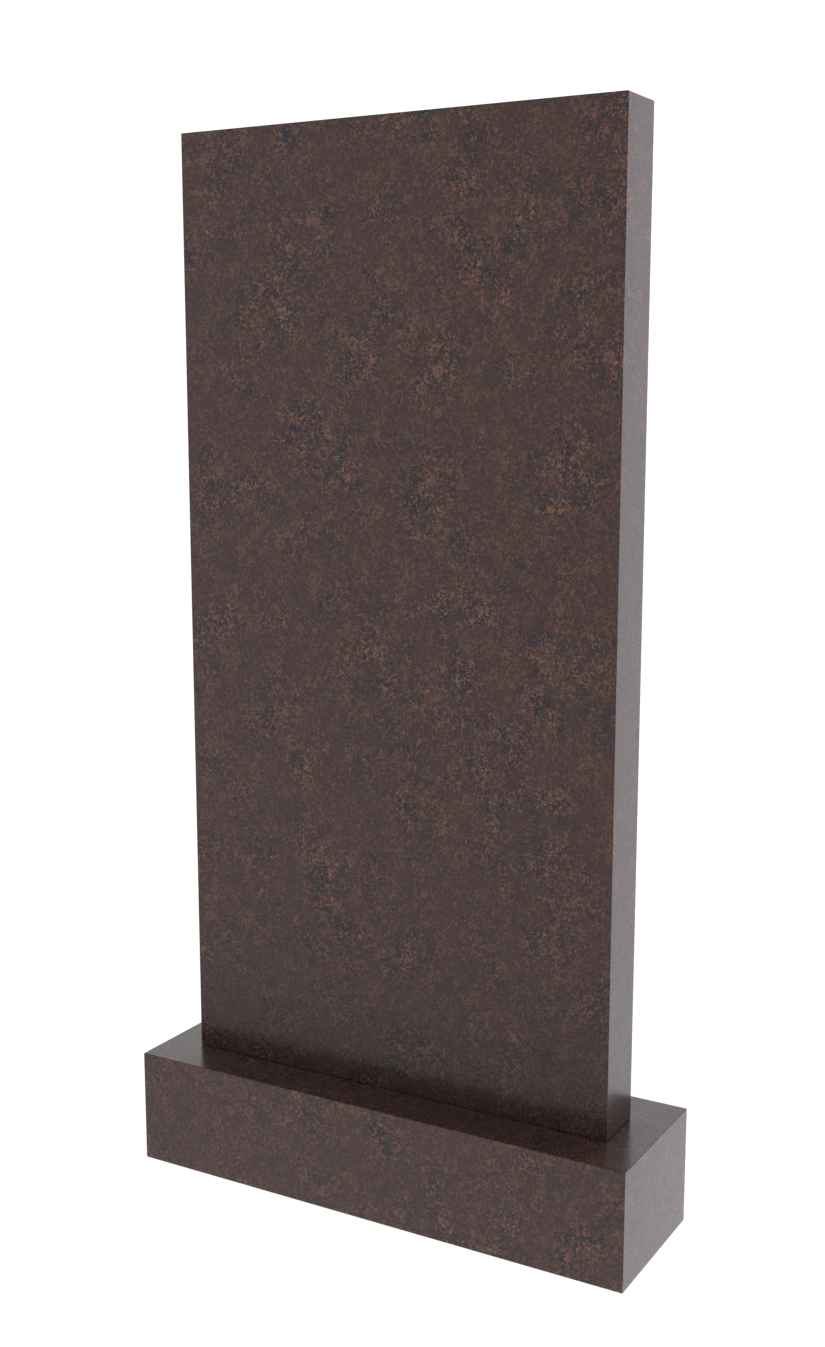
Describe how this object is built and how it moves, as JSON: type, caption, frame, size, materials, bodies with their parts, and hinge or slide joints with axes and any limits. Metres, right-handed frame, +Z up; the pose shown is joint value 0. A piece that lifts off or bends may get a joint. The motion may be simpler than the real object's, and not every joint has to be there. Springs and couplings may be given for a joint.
{
  "type": "upright headstone",
  "caption": "Plain upright rectangular headstone slab of polished red-brown granite, standing on a low rectangular plinth of the same stone.",
  "frame": {"origin": "centre of the plinth's underside, on the ground the headstone stands on", "axes": "+Z up, the inscription side of the slab faces -Y, +X to the right when that side is looked at"},
  "size_m": [0.7, 0.2, 1.3503],
  "materials": {
    "polished_granite": "polished red-brown granite with fine orange, black and grey grains, soft reflections and slightly eased edges"
  },
  "bodies": {
    "root": {"upright_slab": "polished_granite", "plinth": "polished_granite"}
  },
  "joints": []
}
